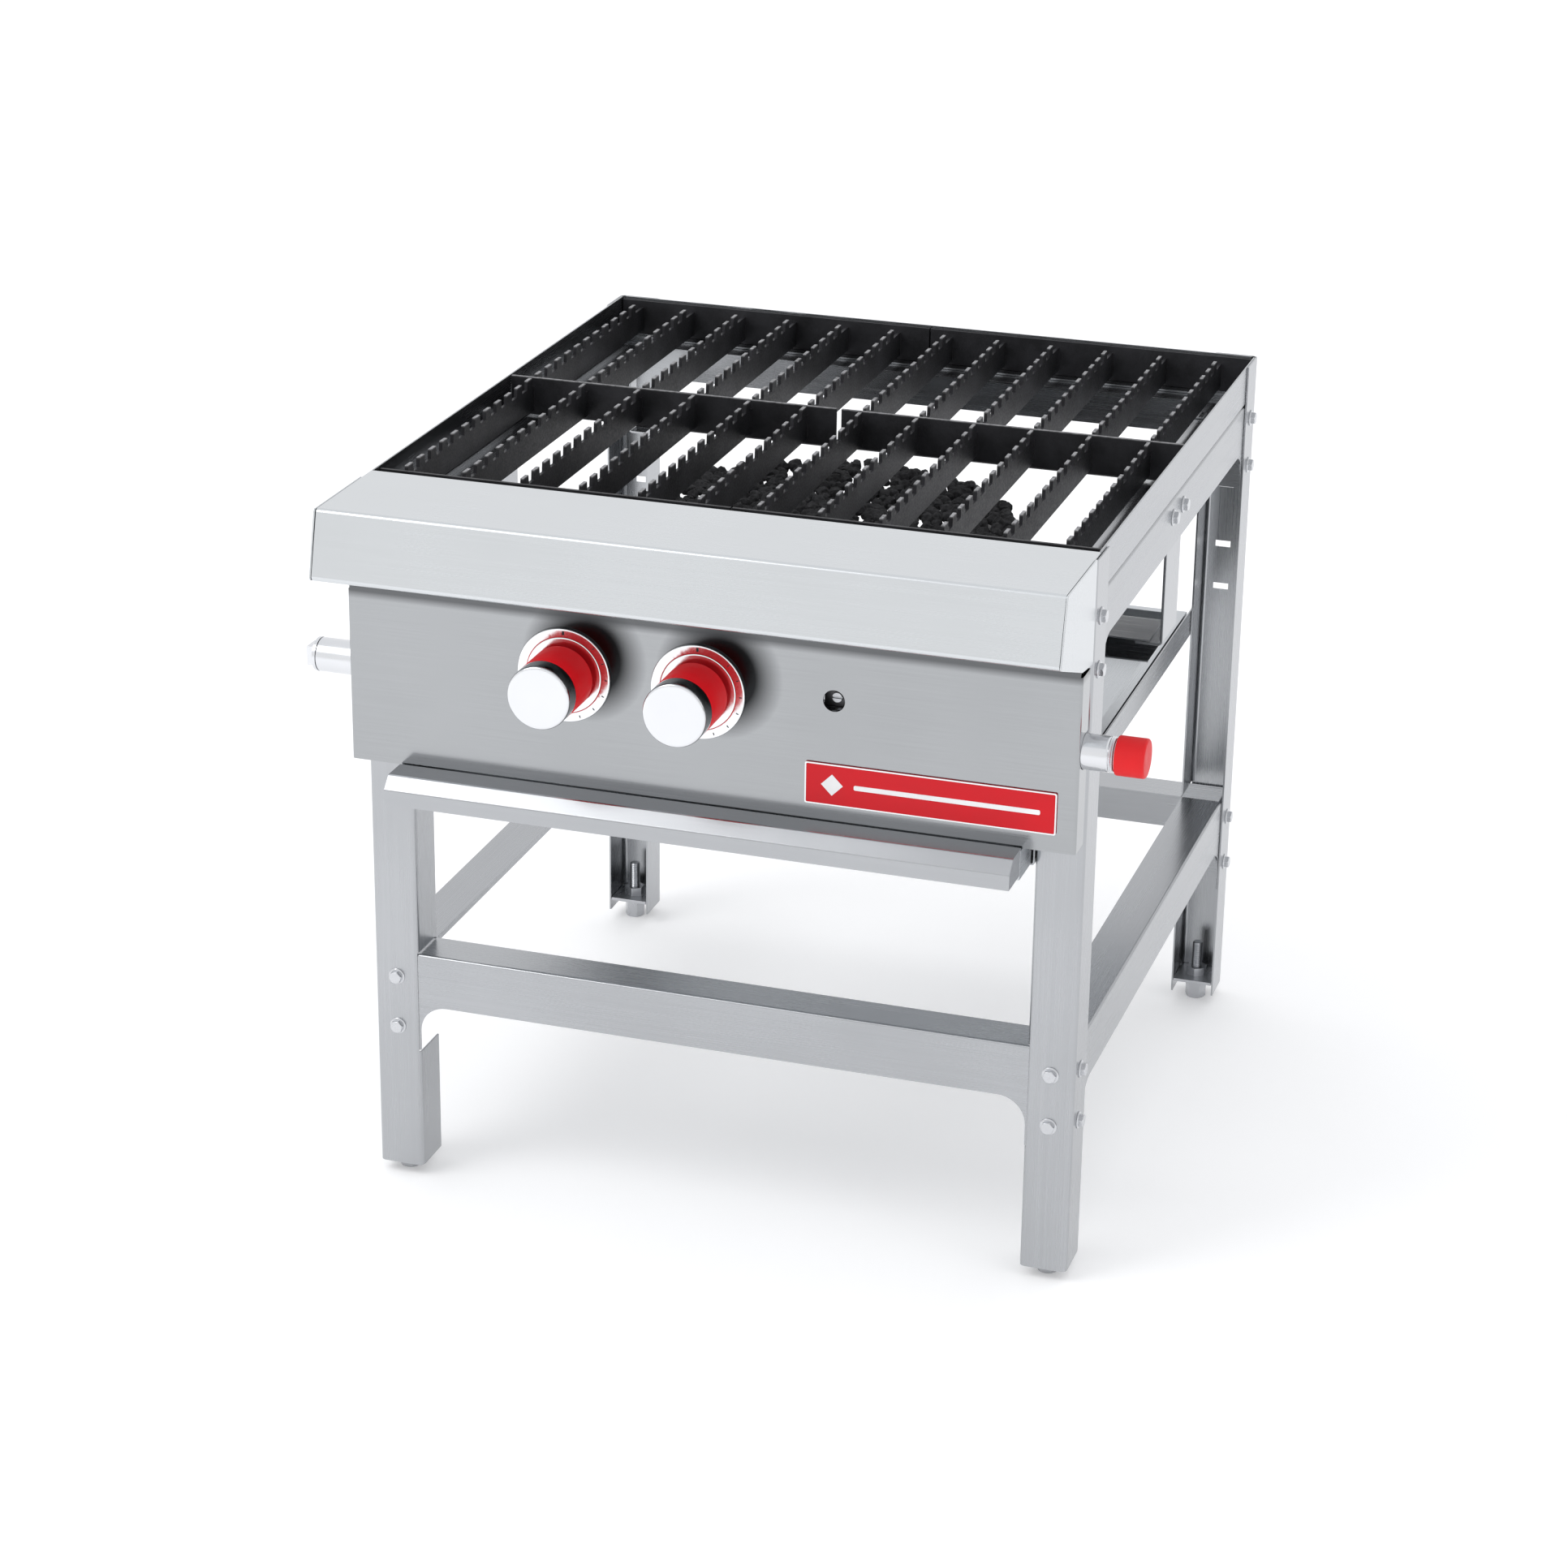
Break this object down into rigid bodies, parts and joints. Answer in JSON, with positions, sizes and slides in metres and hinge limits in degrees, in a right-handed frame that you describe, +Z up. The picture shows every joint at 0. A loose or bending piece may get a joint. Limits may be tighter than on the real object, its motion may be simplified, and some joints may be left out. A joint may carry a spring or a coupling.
{
  "type": "charbroiler grill",
  "caption": "Counter-top gas charbroiler on an open bolted sheet-steel leg frame, with toothed grates over lava rock, front nosing, control panel with knobs, gas pipe and pull-out drip tray.",
  "frame": {"origin": "on the floor under the centre of the bounding box", "axes": "+Z up, front with the knobs towards -Y, +X to the right as seen by the cook"},
  "size_m": [0.702, 0.712, 0.627],
  "materials": {
    "frame_steel": "satin folded sheet",
    "nosing_steel": "bright fine brushed sheet",
    "panel_steel": "horizontal brushed sheet",
    "handle_steel": "bright folded sheet",
    "tray_steel": "plain sheet",
    "zinc": "zinc plated",
    "pipe_steel": "bright plated pipe",
    "bezel_chrome": "bright dial ring",
    "knob_chrome": "bright plated",
    "knob_red": "red skirt",
    "badge_red": "red plate with bright rim",
    "cap_red": "red shipping cap",
    "brass": "machined",
    "pilot_tube_metal": "soft drawn tube",
    "burner_iron": "heat darkened",
    "rack_iron": "black rod",
    "grate_iron": "black seasoned",
    "lava": "porous volcanic rock"
  },
  "bodies": {
    "frame": {"leg_front_left": "frame_steel", "leg_front_right": "frame_steel", "leg_rear_left": "frame_steel", "leg_rear_right": "frame_steel", "foot_bracket_front_left": "zinc", "foot_bracket_front_right": "zinc", "foot_bracket_rear_left": "zinc", "foot_bracket_rear_right": "zinc", "lower_rail_front": "frame_steel", "lower_rail_rear": "frame_steel", "lower_rail_left": "frame_steel", "lower_rail_right": "frame_steel", "upper_rail_front": "frame_steel", "upper_rail_rear": "frame_steel", "upper_rail_left": "frame_steel", "upper_rail_right": "frame_steel", "top_band_left": "frame_steel", "top_band_right": "frame_steel", "top_band_rear": "frame_steel", "strap_left": "frame_steel", "strap_right": "frame_steel", "burner_support": "frame_steel", "tray_runner_left": "frame_steel", "tray_runner_right": "frame_steel", "rack_hanger_left": "frame_steel", "rack_hanger_right": "frame_steel", "nosing": "nosing_steel", "nosing_end_cap_left": "nosing_steel", "nosing_end_cap_right": "nosing_steel", "control_panel": "panel_steel", "badge_plate": "badge_red", "knob_bezel_left": "bezel_chrome", "knob_bezel_right": "bezel_chrome", "valve_body_left": "brass", "valve_body_right": "brass", "pilot_tube": "pilot_tube_metal", "gas_manifold": "pipe_steel", "pilot_valve": "zinc", "manifold_plug": "pipe_steel", "burner_left": "burner_iron", "burner_right": "burner_iron", "rock_rack": "rack_iron", "lava_rocks": "lava"},
    "valve_left": {"valve_stem_left": "brass"},
    "knob_left": {"knob_body_left": "knob_chrome", "knob_red_ring_left": "knob_red"},
    "valve_right": {"valve_stem_right": "brass"},
    "knob_right": {"knob_body_right": "knob_chrome", "knob_red_ring_right": "knob_red"},
    "pilot_screw": {"pilot_screw": "zinc"},
    "drip_tray": {"drip_tray": "tray_steel", "drip_tray_handle": "handle_steel"},
    "grate_left": {"grate_left": "grate_iron"},
    "grate_right": {"grate_right": "grate_iron"},
    "inlet_cap": {"inlet_cap": "cap_red"},
    "levelling_foot_front_left": {"levelling_foot_front_left": "zinc"},
    "levelling_foot_front_right": {"levelling_foot_front_right": "zinc"},
    "levelling_foot_rear_left": {"levelling_foot_rear_left": "zinc"},
    "levelling_foot_rear_right": {"levelling_foot_rear_right": "zinc"}
  },
  "joints": [
    {"name": "knob_turn_left", "type": "hinge", "parent": "frame", "child": "valve_left", "pos_m": [-0.118, -0.29, 0.4915], "axis": [0, -1, 0], "range_deg": [0, 180]},
    {"name": "knob_push_left", "type": "slide", "parent": "valve_left", "child": "knob_left", "axis": [0, 1, 0], "range_m": [0, 0.004], "stiffness_N_per_m": 1500, "springref_m": -0.002},
    {"name": "knob_turn_right", "type": "hinge", "parent": "frame", "child": "valve_right", "pos_m": [-0.005, -0.29, 0.4915], "axis": [0, -1, 0], "range_deg": [0, 180]},
    {"name": "knob_push_right", "type": "slide", "parent": "valve_right", "child": "knob_right", "axis": [0, 1, 0], "range_m": [0, 0.004], "stiffness_N_per_m": 1500, "springref_m": -0.002},
    {"name": "pilot_screw_turn", "type": "hinge", "parent": "frame", "child": "pilot_screw", "pos_m": [0.107, -0.28, 0.4976], "axis": [0, -1, 0], "range_deg": [-90, 270]},
    {"name": "drip_tray_slide", "type": "slide", "parent": "frame", "child": "drip_tray", "axis": [0, -1, 0], "range_m": [0, 0.45]},
    {"name": "grate_lift_left", "type": "slide", "parent": "frame", "child": "grate_left", "axis": [0, 0, 1], "range_m": [0, 0.2]},
    {"name": "grate_lift_right", "type": "slide", "parent": "frame", "child": "grate_right", "axis": [0, 0, 1], "range_m": [0, 0.2]},
    {"name": "foot_screw_front_left", "type": "slide", "parent": "frame", "child": "levelling_foot_front_left", "axis": [0, 0, -1], "range_m": [0, 0.025]},
    {"name": "foot_screw_front_right", "type": "slide", "parent": "frame", "child": "levelling_foot_front_right", "axis": [0, 0, -1], "range_m": [0, 0.025]},
    {"name": "foot_screw_rear_left", "type": "slide", "parent": "frame", "child": "levelling_foot_rear_left", "axis": [0, 0, -1], "range_m": [0, 0.025]},
    {"name": "foot_screw_rear_right", "type": "slide", "parent": "frame", "child": "levelling_foot_rear_right", "axis": [0, 0, -1], "range_m": [0, 0.025]},
    {"name": "inlet_cap_pull", "type": "slide", "parent": "frame", "child": "inlet_cap", "axis": [1, 0, 0], "range_m": [0, 0.06]}
  ]
}
